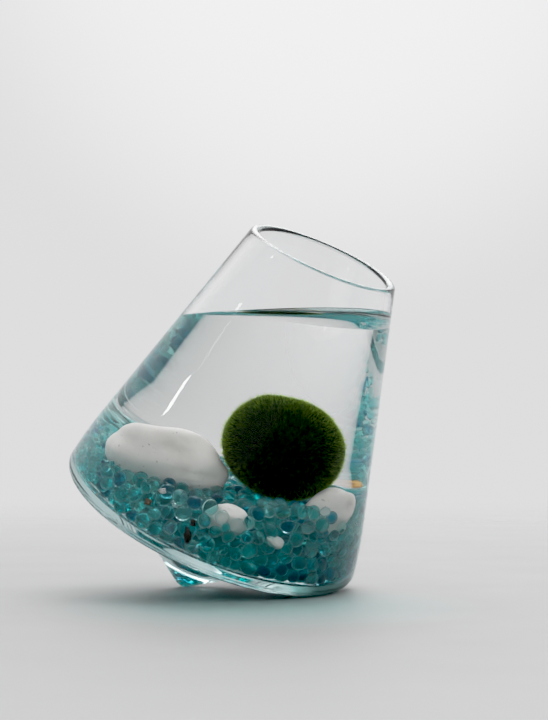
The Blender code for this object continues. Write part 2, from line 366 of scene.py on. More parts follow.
class MarimoSettings(bpy.types.PropertyGroup):
    """All the settings of the moss ball, its bowl and the stage."""

    glass: PointerProperty(type=GlassSettings)
    water: PointerProperty(type=WaterSettings)
    gravel: PointerProperty(type=GravelSettings)
    pebbles: PointerProperty(type=PebbleSettings)
    moss: PointerProperty(type=MossSettings)
    stage: PointerProperty(type=StageSettings)


# Meshes and objects.


def add_object(name, mesh, *materials):
    """Puts a mesh in the scene as a smooth-shaded object with these materials."""
    obj = bpy.data.objects.new(name, mesh)
    bpy.context.scene.collection.objects.link(obj)
    for material in materials:
        mesh.materials.append(material)
    mesh.shade_smooth()
    return obj


def mesh_from(shape, name):
    """The mesh of a bmesh, which is freed."""
    mesh = bpy.data.meshes.new(name)
    shape.to_mesh(mesh)
    shape.free()
    return mesh


def mesh_of_copies(name, points, triangles):
    """One mesh from points shaped (copies, points of each, 3) and the triangles of one copy."""
    copies, each = points.shape[:2]
    faces = (triangles[None] + np.arange(copies)[:, None, None] * each).reshape(-1, 3)
    mesh = bpy.data.meshes.new(name)
    mesh.vertices.add(copies * each)
    mesh.vertices.foreach_set("co", points.astype(np.float32).ravel())
    mesh.loops.add(faces.size)
    mesh.loops.foreach_set("vertex_index", faces.astype(np.int32).ravel())
    mesh.polygons.add(len(faces))
    mesh.polygons.foreach_set("loop_start", np.arange(0, faces.size, 3, dtype=np.int32))
    mesh.update(calc_edges=True)
    return mesh


def share(obj, node):
    """Makes a piece ride with the part, in place of one of its solids."""
    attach(obj, BODY)
    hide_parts(node)


# Shader nodes.


class Nodes:
    """A short way to write the nodes of a material or of the world."""

    def __init__(self, owner):
        owner.use_nodes = True
        self.tree = owner.node_tree
        self.output = next(node for node in self.tree.nodes if node.type.startswith("OUTPUT"))
        self.shader = self.output.inputs["Surface"].links[0].from_node

    def add(self, kind, settings=None, **inputs):
        """A node with these settings. An input is a value, or the output of another node."""
        node = self.tree.nodes.new(kind)
        for name, value in (settings or {}).items():
            setattr(node, name, value)
        for name, value in inputs.items():
            self.feed(node.inputs[name.replace("_", " ")], value)
        return node

    def feed(self, socket, value):
        if isinstance(value, bpy.types.NodeSocket):
            self.tree.links.new(value, socket)
        else:
            socket.default_value = value

    def set(self, **inputs):
        """Sets the inputs of the shader that the material or the world comes with."""
        for name, value in inputs.items():
            self.feed(self.shader.inputs[name.replace("_", " ")], value)

    def show(self, shader, factor):
        """Shows another shader in place of this part of the first one."""
        mix = self.add("ShaderNodeMixShader", Fac=factor)
        self.feed(mix.inputs[1], self.shader.outputs[0])
        self.feed(mix.inputs[2], shader.outputs[0])
        self.feed(self.output.inputs["Surface"], mix.outputs[0])

    def place(self):
        """The point's place on the object."""
        return self.add("ShaderNodeTexCoord").outputs["Object"]

    def attribute(self, name):
        """A number that the mesh holds at each of its points."""
        return self.add("ShaderNodeAttribute", {"attribute_name": name}).outputs["Fac"]

    def noise(self, size, detail=3.0):
        """Noise whose features are about this many metres across."""
        place = self.place()
        node = self.add("ShaderNodeTexNoise", Vector=place, Scale=1.0 / size, Detail=detail, Roughness=0.55)
        return node.outputs["Fac"]

    def blend(self, factor, first, second):
        """A colour between two others."""
        mix = self.add("ShaderNodeMix", {"data_type": "RGBA"})
        self.feed(mix.inputs[0], factor)
        self.feed(mix.inputs[6], rgba(first))
        self.feed(mix.inputs[7], rgba(second))
        return mix.outputs[2]

    def spread(self, value, low, high, start=0.0, end=1.0, interpolation="LINEAR"):
        """A value from start to end carried over to the range from low to high."""
        node = self.add("ShaderNodeMapRange", {"interpolation_type": interpolation})
        for socket, given in zip(node.inputs, (value, start, end, low, high)):
            self.feed(socket, given)
        return node.outputs[0]

    def combine(self, operation, first, second):
        """The sum, the product or the like of two numbers."""
        node = self.add("ShaderNodeMath", {"operation": operation})
        self.feed(node.inputs[0], first)
        self.feed(node.inputs[1], second)
        return node.outputs[0]

    def vector(self, operation, *vectors):
        """What an operation makes of its vectors: another vector, or a number."""
        node = self.add("ShaderNodeVectorMath", {"operation": operation})
        for socket, vector in zip(node.inputs, vectors):
            self.feed(socket, vector)
        return next(output for output in node.outputs if output.enabled)

    def facing_away(self, **inputs):
        """From 0 where the surface faces the eye to 1 where it is seen edge on."""
        return self.add("ShaderNodeLayerWeight", Blend=0.5, **inputs).outputs["Facing"]

    def bump(self, height, distance):
        return self.add("ShaderNodeBump", Height=height, Distance=distance, Strength=1.0).outputs["Normal"]


def rgba(value):
    """A colour with an alpha of 1, or a socket as it is."""
    return value if isinstance(value, bpy.types.NodeSocket) else (*value[:3], 1.0)


def clear_material(name, index, tint=(1.0, 1.0, 1.0)):
    """A clear boundary with this refractive index, which tints what goes through it."""
    material = bpy.data.materials.new(name)
    Nodes(material).set(Base_Color=rgba(tint), Roughness=0.0, IOR=index, Transmission_Weight=1.0)
    return material


# The profile of the glass.


def facing(angle):
    """The unit normal of a wall that faces outwards at this angle above the horizontal."""
    return Vector((math.cos(angle), math.sin(angle)))


def arc(centre, radius, start, end, steps):
    turn = (end - start) / steps
    return [centre + radius * facing(start + turn * i) for i in range(steps + 1)]


def round_between(first, second, radius):
    """The centre of a circle that touches two straight walls from inside; each is (angle, distance)."""
    rows = Matrix([facing(angle) for angle, _ in (first, second)])
    return rows.inverted() @ Vector([distance - radius for _, distance in (first, second)])


def reach(point, angle):
    """How far a wall through this point and facing this way lies from the profile's origin."""
    return point.dot(facing(angle))


BASE_FACING = BASE_SLOPE - math.pi / 2
NUB_FACING = NUB_SLOPE - math.pi / 2
DOWN = -math.pi / 2
SHOULDER_CENTRE = Vector((SHOULDER_RADIUS - SHOULDER_EDGE_RADIUS, 0.0))
BULGE_CENTRE = SHOULDER_CENTRE - (WALL_BULGE_RADIUS - SHOULDER_EDGE_RADIUS) * facing(WALL_FOOT_SLOPE)
BASE_REACH = reach(SHOULDER_CENTRE, BASE_FACING) + SHOULDER_EDGE_RADIUS
NUB_START = Vector((NUB_RADIUS, (BASE_REACH - NUB_RADIUS * math.cos(BASE_FACING)) / math.sin(BASE_FACING)))
NUB_TIP_CENTRE = Vector((0.0, (reach(NUB_START, NUB_FACING) - NUB_TIP_RADIUS) / math.sin(NUB_FACING)))


def lean_angle():
    """How far the axis leans for the nub's tip and the shoulder to touch one flat table."""
    span = SHOULDER_CENTRE - NUB_TIP_CENTRE
    rise = SHOULDER_EDGE_RADIUS - NUB_TIP_RADIUS
    return math.acos(rise / span.length) - math.atan2(span.x, span.y)


def axis_frame():
    """The matrix from the bowl's own frame, with its axis along Z, to the table's."""
    lean = lean_angle()
    turn = Matrix.Rotation(lean, 4, "Y")
    middle = Vector((0.0, 0.0, NUB_TIP_RADIUS - CONTACT_FLAT_DEPTH)) - turn @ UP * NUB_TIP_CENTRE.y
    return Matrix.Translation(middle) @ turn


def wall_at(depth, height):
    """The point of the straight upper wall at this height, this deep in the glass."""
    along = facing(WALL_SLOPE + math.pi / 2)
    top_of_bulge = BULGE_CENTRE + (WALL_BULGE_RADIUS - depth) * facing(WALL_SLOPE)
    return top_of_bulge + along * (height - top_of_bulge.y) / along.y


def outer_profile():
    """The outside, from the top of the bulge down to the tip of the nub."""
    fillet_centre = round_between(
        (BASE_FACING, BASE_REACH + 2 * NUB_FILLET_RADIUS),
        (NUB_FACING, reach(NUB_START, NUB_FACING) + 2 * NUB_FILLET_RADIUS),
        NUB_FILLET_RADIUS,
    )
    return (
        arc(BULGE_CENTRE, WALL_BULGE_RADIUS, WALL_SLOPE, WALL_FOOT_SLOPE, 16)
        + arc(SHOULDER_CENTRE, SHOULDER_EDGE_RADIUS, WALL_FOOT_SLOPE, BASE_FACING, 16)[1:]
        + arc(fillet_centre, NUB_FILLET_RADIUS, BASE_FACING + math.pi, NUB_FACING + math.pi, 6)
        + arc(NUB_TIP_CENTRE, NUB_TIP_RADIUS, NUB_FACING, DOWN, 10)
    )


def inner_profile(glass, clearance=0.0):
    """The cavity, from the top of the bulge down to the middle of the floor."""
    depth = glass.wall + clearance
    floor_reach = BASE_REACH - glass.floor - clearance
    foot_reach = reach(BULGE_CENTRE, WALL_FOOT_SLOPE) + WALL_BULGE_RADIUS - depth
    corner_radius = INNER_CORNER_RADIUS - clearance
    corner = round_between((WALL_FOOT_SLOPE, foot_reach), (BASE_FACING, floor_reach), corner_radius)
    centre_radius = INNER_CENTRE_RADIUS - clearance
    centre = round_between((0.0, centre_radius), (BASE_FACING, floor_reach), centre_radius)
    corner_arc = arc(corner, corner_radius, WALL_FOOT_SLOPE, BASE_FACING, 12)
    wall = arc(BULGE_CENTRE, WALL_BULGE_RADIUS - depth, WALL_SLOPE, WALL_FOOT_SLOPE, 16)
    wall = [point for point in wall if point.y > corner_arc[0].y + 0.2 * MM]
    return wall + corner_arc + arc(centre, centre_radius, BASE_FACING, DOWN, 8)


def carry_up(profile, top):
    """A profile carried on, in even rows, up a straight wall to this point."""
    last = profile[-1]
    return profile + [last.lerp(top, i / WALL_ROWS) for i in range(1, WALL_ROWS + 1)]


def spin(shape, profile):
    """Turns a profile about the bowl's axis and adds it to a bmesh. Returns the new faces."""
    before = set(shape.faces)
    verts = [shape.verts.new((point.x, 0.0, point.y)) for point in profile]
    edges = [shape.edges.new(pair) for pair in zip(verts, verts[1:])]
    bmesh.ops.spin(
        shape,
        geom=verts + edges,
        cent=(0, 0, 0),
        axis=(0, 0, 1),
        angle=math.tau,
        steps=TURN_STEPS,
        use_merge=True,
    )
    return [face for face in shape.faces if face not in before]


def on_axis(point):
    return Vector((0.0, point.y))


def weld(shape):
    bmesh.ops.remove_doubles(shape, verts=shape.verts[:], dist=0.001 * MM)
    bmesh.ops.dissolve_degenerate(shape, dist=0.0001 * MM, edges=shape.edges[:])


def cut_level(shape, faces, height, clear_above=False):
    """Cuts these faces along a level line."""
    geometry = dict.fromkeys(item for face in faces for item in (face, *face.edges, *face.verts))
    return bmesh.ops.bisect_plane(
        shape, geom=list(geometry), plane_co=(0, 0, height), plane_no=(0, 0, 1), clear_outer=clear_above
    )


def climb_at(water, outwards):
    """How far the water climbs a wall that faces this way: farther on one that leans out over it."""
    return 2 * water.capillary * math.sin((math.pi / 2 - math.asin(outwards.z) - water.contact) / 2)


def raise_edge(verts, water):
    """Slides an inner wall's points up it, so that those at the water's level come to the water's edge."""
    to_table = axis_frame()
    to_bowl = to_table.inverted()
    for vert in verts:
        portion = 1.0 - abs(vert.co.z - water.level) / CLIMB_REACH
        if portion > 0.0:
            place = to_bowl @ vert.co
            around = Vector((place.x, place.y, 0.0)).normalized()
            outwards = to_table.to_3x3() @ (around * math.cos(WALL_SLOPE) + UP * math.sin(WALL_SLOPE))
            along = to_table.to_3x3() @ (UP * math.cos(WALL_SLOPE) - around * math.sin(WALL_SLOPE))
            vert.co += along * (portion * climb_at(water, outwards) / along.z)


class BowlGlass(bpy.types.Operator):
    """The bowl: a turned body whose inner face meets water below the water's edge, and air above"""

    bl_idname = "marimo.bowl_glass"
    bl_label = "Bowl"

    # Its materials, by their place in the list.
    DRY, WET, FOOT = range(3)

    def execute(self, context):
        settings = context.scene.marimo
        glass, water = settings.glass, settings.water
        lip_radius = glass.wall / 2
        lip_centre = wall_at(lip_radius, RIM_HEIGHT - lip_radius)
        lip = arc(lip_centre, lip_radius, WALL_SLOPE + math.pi, WALL_SLOPE, 16)
        inside = inner_profile(glass)[::-1]
        inside[0] = on_axis(inside[0])
        outside = outer_profile()
        outside[-1] = on_axis(outside[-1])

        shape = bmesh.new()
        for face in spin(shape, carry_up(inside, lip[0])):
            face.material_index = self.WET
        spin(shape, [*lip, *outside])
        weld(shape)
        bmesh.ops.transform(shape, matrix=axis_frame(), verts=shape.verts[:])
        bmesh.ops.recalc_face_normals(shape, faces=shape.faces[:])
        cut_level(shape, [face for face in shape.faces if face.material_index == self.WET], water.level)
        inner = self.verts_of(shape, self.WET)
        for face in shape.faces:
            if face.material_index == self.WET and face.calc_center_median().z > water.level:
                face.material_index = self.DRY
        raise_edge(inner, water)
        self.unsettle(shape, glass.waviness)
        to_bowl = axis_frame().inverted()
        for face in shape.faces:
            if face.material_index == self.DRY and (to_bowl @ face.calc_center_median()).z < FOOT_TOP:
                face.material_index = self.FOOT
        for vert in shape.verts:
            vert.co.z = max(vert.co.z, 0.0)
        obj = add_object(
            "bowl_glass",
            mesh_from(shape, "bowl_glass"),
            clear_material("Clear glass", glass.index, glass.tint),
            clear_material("Glass under water", glass.index / water.index, glass.tint),
            self.foot_material(glass),
        )
        share(obj, "glass_vessel")
        return {"FINISHED"}

    @staticmethod
    def foot_material(glass):
        """Clear glass with painted shade, which takes more out of the light towards the side the bowl rests
        on.
        """
        material = clear_material("Foot glass", glass.index)
        nodes = Nodes(material)
        x = nodes.add("ShaderNodeSeparateXYZ", Vector=nodes.place()).outputs["X"]
        # Painted shade: the foot's glass darkens towards where it rests on the table.
        low = nodes.spread(x, 0.0, 1.0, *PAINTED_SHADE_RANGE)
        nodes.set(Base_Color=nodes.blend(low, glass.foot_tint_and_shade, glass.painted_foot_shade))
        return material

    @staticmethod
    def verts_of(shape, material):
        """The points of all the faces that have this material."""
        return {vert for face in shape.faces if face.material_index == material for vert in face.verts}

    def unsettle(self, shape, waviness):
        """Blown glass is never quite even: moves the inner face in and out by a slow noise."""
        for vert in self.verts_of(shape, self.WET):
            vert.co += vert.normal * waviness * noise.noise(vert.co / WAVE_LENGTH)


class BowlWater(bpy.types.Operator):
    """The water: a body that fills the bowl, with a level top that climbs the glass at its edge"""

    bl_idname = "marimo.bowl_water"
    bl_label = "Water"

    # The rings of the climbing surface: how many, how much closer their heights come towards its foot, and
    # the least of those heights, as a part of the climb.
    RINGS = 20
    CLOSENESS = 1.7
    LOWEST = 0.004

    def execute(self, context):
        settings = context.scene.marimo
        glass, water = settings.glass, settings.water
        clearance = WATER_GAP + glass.waviness
        inside = inner_profile(glass, clearance)[::-1]
        inside[0] = on_axis(inside[0])
        shape = bmesh.new()
        for face in spin(shape, carry_up(inside, wall_at(glass.wall + clearance, RIM_HEIGHT))):
            face.material_index = 1
        weld(shape)
        bmesh.ops.transform(shape, matrix=axis_frame(), verts=shape.verts[:])
        cut_level(shape, shape.faces[:], water.level, clear_above=True)
        raise_edge(shape.verts, water)
        self.add_top(shape, water)
        bmesh.ops.recalc_face_normals(shape, faces=shape.faces[:])
        obj = add_object(
            "still_water",
            mesh_from(shape, "still_water"),
            clear_material("Water surface", water.index),
            clear_material("Water against glass", 1.0),
        )
        share(obj, "water")
        return {"FINISHED"}

    @staticmethod
    def from_wall(water, height, climb):
        """How far from the wall the climbing surface has come down to this height."""

        def term(h):
            part = h / (2 * water.capillary)
            return math.acosh(1 / part) - 2 * math.sqrt(1 - part**2)

        return water.capillary * (term(height) - term(climb))

    def add_top(self, shape, water):
        """Rings from the water's edge down the curve that surface tension gives, and a level middle."""
        rim = dict.fromkeys(vert for edge in shape.edges if edge.is_boundary for vert in edge.verts)
        middle = sum((vert.co for vert in rim), Vector()) / len(rim)
        rim = sorted(rim, key=lambda vert: math.atan2(vert.co.y - middle.y, vert.co.x - middle.x))
        edge = [(vert.co.copy(), vert.co.z - water.level) for vert in rim]
        outer = rim
        for ring in range(1, self.RINGS + 1):
            inner = []
            for place, climb in edge:
                height = climb * max((1 - ring / self.RINGS) ** self.CLOSENESS, self.LOWEST)
                inwards = ((middle - place) * Vector((1, 1, 0))).normalized()
                point = place + inwards * self.from_wall(water, height, climb)
                above = height if ring < self.RINGS else 0.0
                inner.append(shape.verts.new((point.x, point.y, water.level + above)))
            for i in range(len(rim)):
                shape.faces.new((outer[i - 1], outer[i], inner[i], inner[i - 1]))
            outer = inner
        shape.faces.new(outer)


class Cavity:
    """The room in the bowl for loose grains: what the glass, the pebbles and the moss ball leave."""

    def __init__(self, settings):
        self.gravel = settings.gravel
        self.to_bowl = np.array(axis_frame().inverted())
        self.to_table = np.array(axis_frame())
        profile = np.array([tuple(point) for point in inner_profile(settings.glass, GRAIN_GAP)])
        along = np.diff(profile, axis=0)
        along /= np.linalg.norm(along, axis=1)[:, None]
        self.normals = np.stack([-along[:, 1], along[:, 0]], 1)
        self.reaches = (self.normals * profile[:-1]).sum(1)
        self.stones = []
        for centre, half_sizes, turns in PEBBLES.values():
            turn = np.array(Euler([math.radians(angle) for angle in turns]).to_matrix())
            self.stones.append((np.array(centre) * MM, np.array(half_sizes) * MM, turn))
        for _, centre, half_sizes in (*CHIPS, *FRONT_GRAINS):
            self.stones.append((np.array(centre) * MM, np.ones(3) * half_sizes * MM, np.eye(3)))
        self.ball = np.array(MARIMO_CENTRE)
        self.ball_radius = settings.moss.radius - BALL_SINK * settings.moss.filament

    def keep_in(self, points, radius):
        """Moves points that stick out of the room back into it."""
        bowl = points @ self.to_bowl[:3, :3].T + self.to_bowl[:3, 3]
        across = np.maximum(np.hypot(bowl[:, 0], bowl[:, 1]), 1e-9)
        flat = np.stack([across, bowl[:, 2]], 1)
        for _ in range(2):
            beyond = flat @ self.normals.T - (self.reaches[None] - radius[:, None])
            worst = beyond.argmax(1)
            push = np.maximum(beyond[np.arange(len(flat)), worst], 0.0)
            flat -= self.normals[worst] * push[:, None]
        bowl[:, :2] *= (np.maximum(flat[:, 0], 0.0) / across)[:, None]
        bowl[:, 2] = flat[:, 1]
        points = bowl @ self.to_table[:3, :3].T + self.to_table[:3, 3]

        away = points - self.ball
        distance = np.linalg.norm(away, axis=1)
        short = np.maximum(self.ball_radius + radius - distance, 0.0)
        points += away / distance[:, None] * short[:, None]
        for centre, half_sizes, turn in self.stones:
            local = (points - centre) @ turn
            way = local / np.linalg.norm(local, axis=1)[:, None]
            surface = 1.0 / np.linalg.norm(way / half_sizes, axis=1)
            distance = np.linalg.norm(local, axis=1)
            short = np.maximum(surface + PEBBLE_ROOM * radius - distance, 0.0)
            points += (way * short[:, None]) @ turn.T
        return points

    def lid(self, points):
        """How far each point is above the bed's surface."""
        from_pit = ((points[:, :2] - np.array(PIT_MIDDLE)) ** 2).sum(1) / PIT_REACH**2
        rise = CORNER_RISE * np.clip((CORNER_START - points[:, 0]) / CORNER_RUN, 0.0, 1.0)
        surface = self.gravel.height - self.gravel.fall * points[:, 0] - PIT_DEPTH * np.exp(-from_pit) + rise
        return points[:, 2] - surface

    def free_places(self, random, low, high, tries, radius):
        """Random points at which a grain of this radius touches nothing."""
        points = random.uniform(np.array(low), np.array(high), (tries, 3))
        moved = self.keep_in(points.copy(), np.full(tries, radius))
        return points[np.linalg.norm(moved - points, axis=1) < FREE_WITHIN]


def near_pairs(points, reach_of_pair):
    """Every pair of points closer than this, as two arrays of indices."""
    squares = (points**2).sum(1)
    gaps = squares[:, None] + squares[None] - 2 * points @ points.T
    first, second = np.nonzero(gaps < reach_of_pair**2)
    keep = first < second
    return first[keep], second[keep]


def pack_grains(settings, random):
    """Centres and radii of loose grains, shaken until hardly any two overlap."""
    gravel = settings.gravel
    cavity = Cavity(settings)
    spread = random.beta(*GRAIN_SIZES, gravel.count)
    radius = gravel.smallest + (gravel.largest - gravel.smallest) * spread
    low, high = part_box("gravel_bed")
    free = cavity.free_places(random, low, high, gravel.count * TRIES_FOR_EACH, gravel.smallest)
    points = free[cavity.lid(free) < -gravel.smallest][: gravel.count]
    if len(points) < gravel.count:
        raise RuntimeError("the gravel has no room for that many grains")
    margin = 2 * MM
    free = cavity.free_places(random, low, (margin, high.y, high.z + margin), CORNER_TRIES, CORNER_GRAIN)
    deep = -cavity.lid(free)
    corner = free[(deep > 0.0) & (deep < CORNER_DEPTH)][: gravel.corner_count]
    small = random.uniform(CORNER_GRAIN, CORNER_SPREAD * CORNER_GRAIN, len(corner))
    points = np.concatenate([points, corner])
    radius = np.concatenate([radius, small])
    return shake(points, radius, cavity), radius


def shake(points, radius, cavity):
    """Pushes grains apart where they overlap, down under the bed's surface, and back into the bowl."""
    for turn in range(PACKING_ROUNDS):
        if turn % SEARCH_ROUNDS == 0:
            first, second = near_pairs(points, 2 * cavity.gravel.largest + SEARCH_MARGIN)
        apart = points[first] - points[second]
        distance = np.maximum(np.linalg.norm(apart, axis=1), 1e-7)
        overlap = np.maximum(radius[first] + radius[second] - distance, 0.0)
        shove = apart / distance[:, None] * (SHOVE * overlap)[:, None]
        for axis in range(3):
            points[:, axis] += np.bincount(first, shove[:, axis], len(points))
            points[:, axis] -= np.bincount(second, shove[:, axis], len(points))
        above = cavity.lid(points) + radius
        points[:, 2] -= np.maximum(above, 0.0) * SINK
        points = cavity.keep_in(points, radius)
    return points


def ball_cage(cuts):
    """Points on a unit ball and their triangles, from a divided cube."""
    shape = bmesh.new()
    bmesh.ops.create_cube(shape, size=2.0)
    bmesh.ops.subdivide_edges(shape, edges=shape.edges[:], cuts=cuts, use_grid_fill=True)
    bmesh.ops.triangulate(shape, faces=shape.faces[:])
    points = np.array([vert.co.normalized() for vert in shape.verts])
    triangles = np.array([[vert.index for vert in face.verts] for face in shape.faces])
    shape.free()
    return points, triangles


def uneven(ways, relief, lumps, offset):
    """How far a unit ball with slow lumps on it reaches in each of these directions."""
    return np.array([1.0 + relief * noise.noise(Vector(way) * lumps + offset) for way in ways])


def random_turns(random, count):
    """Random rotation matrices."""
    quaternion = random.normal(size=(count, 4))
    quaternion /= np.linalg.norm(quaternion, axis=1)[:, None]
    w, x, y, z = quaternion.T
    return np.stack([
        1 - 2 * (y * y + z * z), 2 * (x * y - z * w), 2 * (x * z + y * w),
        2 * (x * y + z * w), 1 - 2 * (x * x + z * z), 2 * (y * z - x * w),
        2 * (x * z - y * w), 2 * (y * z + x * w), 1 - 2 * (x * x + y * y),
    ], 1).reshape(-1, 3, 3)


def grain_shapes(random, centres, radius, cage):
    """Rounded, uneven grains: unit balls stretched, pushed flat on a few sides and turned at random."""
    count = len(centres)
    ball = np.repeat(cage[None], count, 0)
    swell = np.ones(ball.shape[:2])
    for _ in range(GRAIN_FLATS):
        side = random.normal(size=(count, 3))
        side /= np.linalg.norm(side, axis=1)[:, None]
        towards = np.einsum("nvk,nk->nv", ball, side)
        depth = random.uniform(0.0, GRAIN_FLAT_DEPTH, count)[:, None]
        swell -= depth * np.clip((towards - GRAIN_FLAT_FROM) / (1.0 - GRAIN_FLAT_FROM), 0.0, 1.0) ** 2
    stretch = random.uniform(*GRAIN_STRETCH, (count, 3))
    stretch /= np.cbrt(stretch.prod(1))[:, None]
    local = ball * swell[..., None] * stretch[:, None]
    turned = np.einsum("nij,nvj->nvi", random_turns(random, count), local)
    return centres[:, None] + turned * radius[:, None, None]


class GravelBed(bpy.types.Operator):
    """The gravel: loose grains of tumbled glass in five colours, packed round the pebbles and the moss"""

    bl_idname = "marimo.gravel_bed"
    bl_label = "Gravel"

    KINDS = (("blue", 0.14), ("teal", 0.34), ("green", 0.27), ("pale", 0.17), ("clear", 0.08))

    def execute(self, context):
        settings = context.scene.marimo
        random = np.random.default_rng(GRAVEL_SEED)
        centres, radius = pack_grains(settings, random)
        cage, triangles = ball_cage(4)
        centres = np.concatenate([centres, [np.array(centre) * MM for _, centre, _ in FRONT_GRAINS]])
        radius = np.concatenate([radius, [size * MM for _, _, size in FRONT_GRAINS]])
        points = grain_shapes(random, centres, radius * GRAIN_SWELL, cage)
        names = [name for name, _ in self.KINDS]
        kind = random.choice(len(names), len(centres), p=[portion for _, portion in self.KINDS])
        kind[-len(FRONT_GRAINS):] = [names.index(name) for name, _, _ in FRONT_GRAINS]
        for order, (name, _) in enumerate(self.KINDS):
            mesh = mesh_of_copies(f"grains_{name}", points[kind == order], triangles)
            material = self.material(name, getattr(settings.gravel, name), settings.gravel)
            obj = add_object(f"grains_{name}", mesh, material)
            share(obj, "gravel_bed")
        self.add_chips()
        return {"FINISHED"}

    def add_chips(self):
        """Small sharp-edged bits of other things that lie among the grains."""
        cage, triangles = ball_cage(5)
        for order, (kind, centre, half_sizes) in enumerate(CHIPS):
            swell = uneven(cage, CHIP_RELIEF, CHIP_LUMPS, Vector((order, 0.0, 7.0)))
            points = cage * swell[:, None] * np.array(half_sizes) * MM + np.array(centre) * MM
            mesh = mesh_of_copies(f"chip_{order}", points[None], triangles)
            obj = add_object(f"chip_{order}", mesh, self.chip_material(f"Chip {order}", CHIP_COLOURS[kind]))
            share(obj, "gravel_bed")

    @staticmethod
    def chip_material(name, colour):
        """Matt and mottled."""
        material = bpy.data.materials.new(name)
        nodes = Nodes(material)
        mottle = nodes.spread(nodes.noise(0.8 * MM), 0.0, 0.6, 0.35, 0.65)
        shade = tuple(CHIP_SHADE * part for part in colour)
        nodes.set(Base_Color=nodes.blend(mottle, colour, shade), Roughness=0.5)
        return material

    @staticmethod
    def material(name, base, gravel):
        """See-through glass, deeper in patches, whose frost shows at a grain's lower edges as a painted rim
        light.
        """
        material = bpy.data.materials.new(f"Tumbled glass {name}")
        nodes = Nodes(material)
        cloud = nodes.noise(6 * MM, detail=2.0)
        deep = tuple(part**1.3 for part in base)
        light = tuple(part**0.8 for part in base)
        body = nodes.blend(nodes.spread(cloud, 0.0, 1.0, 0.35, 0.65), deep, light)
        # Paler towards the edges: partly the thinner glass there, partly a painted rim light.
        away = nodes.facing_away()
        normal = nodes.add("ShaderNodeNewGeometry").outputs["Normal"]
        upwards = nodes.add("ShaderNodeSeparateXYZ", Vector=normal).outputs["Z"]
        edge = nodes.spread(away, 0.0, 1.0, 0.30, 0.80)
        # Painted light: the frost is kept to downward-facing sides, where light from above would come out of a
        # grain.
        painted_light_below = nodes.spread(upwards, 1.0, 0.06, -0.65, 0.25)
        patches = nodes.spread(nodes.noise(2.5 * MM), 0.35, 1.0, 0.42, 0.58)
        frost_and_rim_light = nodes.combine("MULTIPLY", nodes.combine("MULTIPLY", edge, painted_light_below), patches)
        nodes.set(
            Base_Color=nodes.blend(away, body, gravel.edge),
            Roughness=nodes.spread(nodes.noise(1.2 * MM), 0.04, 0.10, 0.3, 0.7),
            IOR=gravel.index,
            Transmission_Weight=nodes.spread(frost_and_rim_light, 0.94, 0.25),
            Normal=nodes.bump(nodes.noise(0.6 * MM), 0.01 * MM),
        )
        return material


class Pebbles(bpy.types.Operator):
    """The pebbles: smooth white stones with faint specks"""

    bl_idname = "marimo.pebbles"
    bl_label = "Pebbles"

    def execute(self, context):
        settings = context.scene.marimo.pebbles
        material = self.material(settings)
        cage, triangles = ball_cage(PEBBLE_CUTS)
        for seed, (name, (centre, half_sizes, turns)) in enumerate(PEBBLES.items(), start=FIRST_PEBBLE_SEED):
            swell = uneven(cage, PEBBLE_RELIEF, LUMPS, Vector((seed, seed, 0.0)))
            mesh = mesh_of_copies(name, (cage * swell[:, None])[None], triangles)
            place = Matrix.LocRotScale(
                Vector(centre) * MM, Euler([math.radians(turn) for turn in turns]), Vector(half_sizes) * MM
            )
            mesh.transform(place)
            share(add_object(f"{name}_finished", mesh, material), name)
        return {"FINISHED"}

    @staticmethod
    def material(settings):
        material = bpy.data.materials.new("White pebble")
        nodes = Nodes(material)
        cloud = nodes.spread(nodes.noise(9 * MM, detail=4.0), 0.0, 0.35, 0.45, 0.75)
        speck = nodes.spread(nodes.noise(1.1 * MM, detail=1.0), 0.0, 1.0, 0.70, 0.78)
        clouded = nodes.blend(cloud, settings.stone, settings.fleck)
        nodes.set(
            Base_Color=nodes.blend(speck, clouded, settings.fleck),
            Roughness=nodes.spread(nodes.noise(2 * MM), 0.40, 0.60, 0.3, 0.7),
            IOR=1.2,
            Normal=nodes.bump(nodes.noise(0.8 * MM, detail=5.0), 0.03 * MM),
        )
        return material


def spread_on_ball(count, random):
    """Nearly even directions over a ball, each nudged a little."""
    turn = math.pi * (3.0 - math.sqrt(5.0))
    order = np.arange(count) + 0.5
    height = 1.0 - 2.0 * order / count
    across = np.sqrt(1.0 - height**2)
    ways = np.stack([across * np.cos(turn * order), across * np.sin(turn * order), height], 1)
    ways += random.normal(scale=0.6 / math.sqrt(count), size=ways.shape)
    return ways / np.linalg.norm(ways, axis=1)[:, None]


